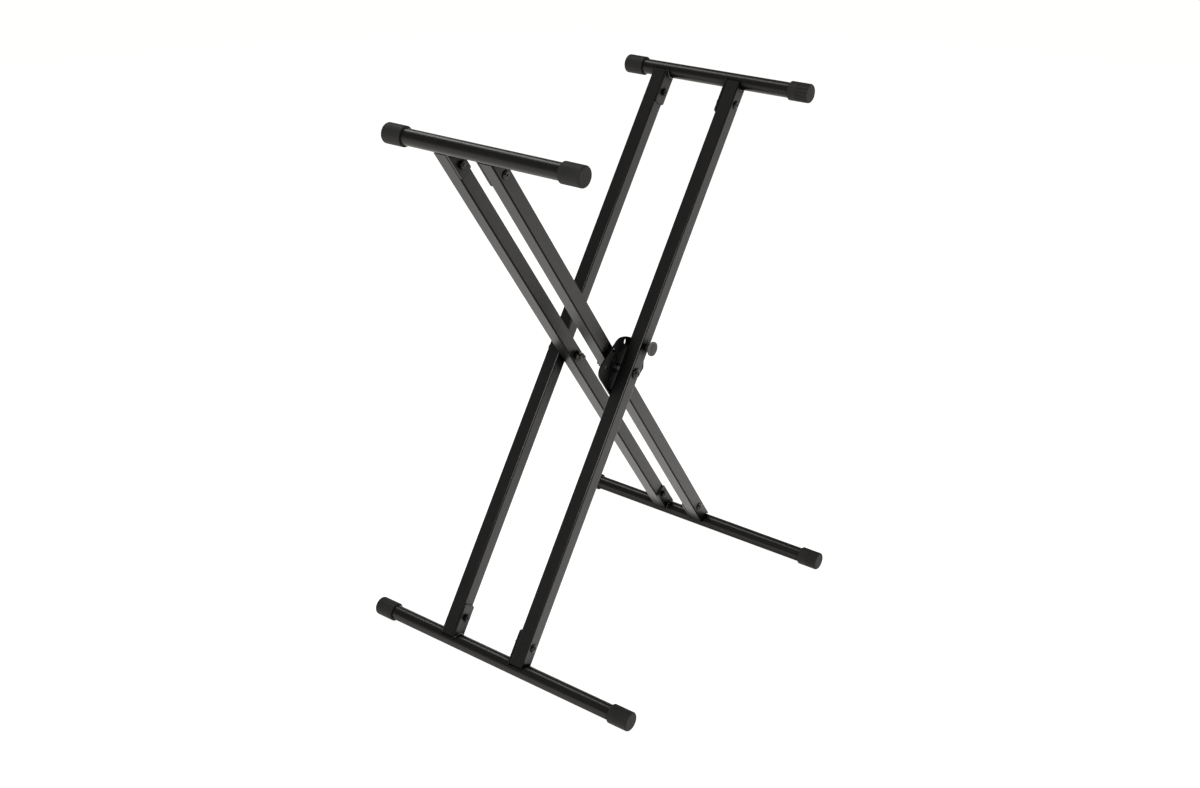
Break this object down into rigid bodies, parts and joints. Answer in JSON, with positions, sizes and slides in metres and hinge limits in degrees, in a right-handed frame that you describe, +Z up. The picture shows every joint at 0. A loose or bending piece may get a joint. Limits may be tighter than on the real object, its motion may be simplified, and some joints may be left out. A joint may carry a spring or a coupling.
{
  "type": "folding keyboard stand",
  "caption": "Folding double-X stand for a keyboard: two crossed square-leg frames with round foot and arm tubes, rubber end caps and a sprung pull knob on a slotted lock plate.",
  "frame": {"origin": "centre of the whole stand's box on the floor, 1.7 mm from the point under the pivot axis", "axes": "+Z up, Y along the round tubes and the pivot axis with the pull knob on the -Y side, X across the feet with the outer frame's foot at -X"},
  "size_m": [0.6242, 0.522, 0.869],
  "materials": {
    "leg_paint": "black powder coat, satin with fine grain",
    "tube_paint": "black powder coat, smoother satin",
    "tab_paint": "black powder coat over weld",
    "plate_paint": "black semi-gloss paint on stamped sheet",
    "foot_cap_rubber": "matt black rubber",
    "arm_cap_rubber": "matt black rubber",
    "black_fastener": "black oxide steel, worn bright on edges",
    "zinc_hardware": "zinc plated steel",
    "nylon_shim": "black nylon",
    "bushing_steel": "black oxide steel",
    "spring_steel": "bright spring wire",
    "rivet_steel": "painted steel rivet",
    "knob_plastic": "matt dark grey moulded plastic",
    "pin_steel": "bright turned steel"
  },
  "bodies": {
    "outer_frame": {"outer_foot_tube": "tube_paint", "outer_arm_tube": "tube_paint", "outer_foot_cap_near": "foot_cap_rubber", "outer_foot_cap_far": "foot_cap_rubber", "outer_arm_cap_near": "arm_cap_rubber", "outer_arm_cap_far": "arm_cap_rubber", "outer_leg_near": "leg_paint", "outer_leg_far": "leg_paint", "outer_foot_tab_near": "tab_paint", "outer_foot_tab_far": "tab_paint", "outer_arm_tab_near": "tab_paint", "outer_arm_tab_far": "tab_paint", "outer_end_bolts": "black_fastener", "outer_end_nuts": "black_fastener", "pivot_bolt_near": "black_fastener", "pivot_bolt_far": "black_fastener", "pivot_nuts": "zinc_hardware", "pivot_washers": "zinc_hardware", "pivot_spacer_near": "zinc_hardware", "pivot_shim_far": "nylon_shim", "plunger_bushing": "bushing_steel", "plunger_spring": "spring_steel"},
    "inner_frame": {"inner_foot_tube": "tube_paint", "inner_arm_tube": "tube_paint", "inner_foot_cap_near": "foot_cap_rubber", "inner_foot_cap_far": "foot_cap_rubber", "inner_arm_cap_near": "arm_cap_rubber", "inner_arm_cap_far": "arm_cap_rubber", "inner_leg_near": "leg_paint", "inner_leg_far": "leg_paint", "inner_foot_tab_near": "tab_paint", "inner_foot_tab_far": "tab_paint", "inner_arm_tab_near": "tab_paint", "inner_arm_tab_far": "tab_paint", "inner_end_bolts": "black_fastener", "inner_end_nuts": "black_fastener", "lock_plate": "plate_paint", "plate_rivets": "rivet_steel"},
    "plunger": {"pull_knob": "knob_plastic", "lock_pin": "pin_steel"}
  },
  "joints": [
    {"name": "fold", "type": "hinge", "parent": "outer_frame", "child": "inner_frame", "pos_m": [0.00169, 0, 0.43192], "axis": [0, 1, 0], "range_deg": [-53, 65]},
    {"name": "pull_knob_slide", "type": "slide", "parent": "outer_frame", "child": "plunger", "axis": [0, 1, 0], "range_m": [-0.0015, 0.0048], "deforming": ["plunger_spring"]}
  ]
}
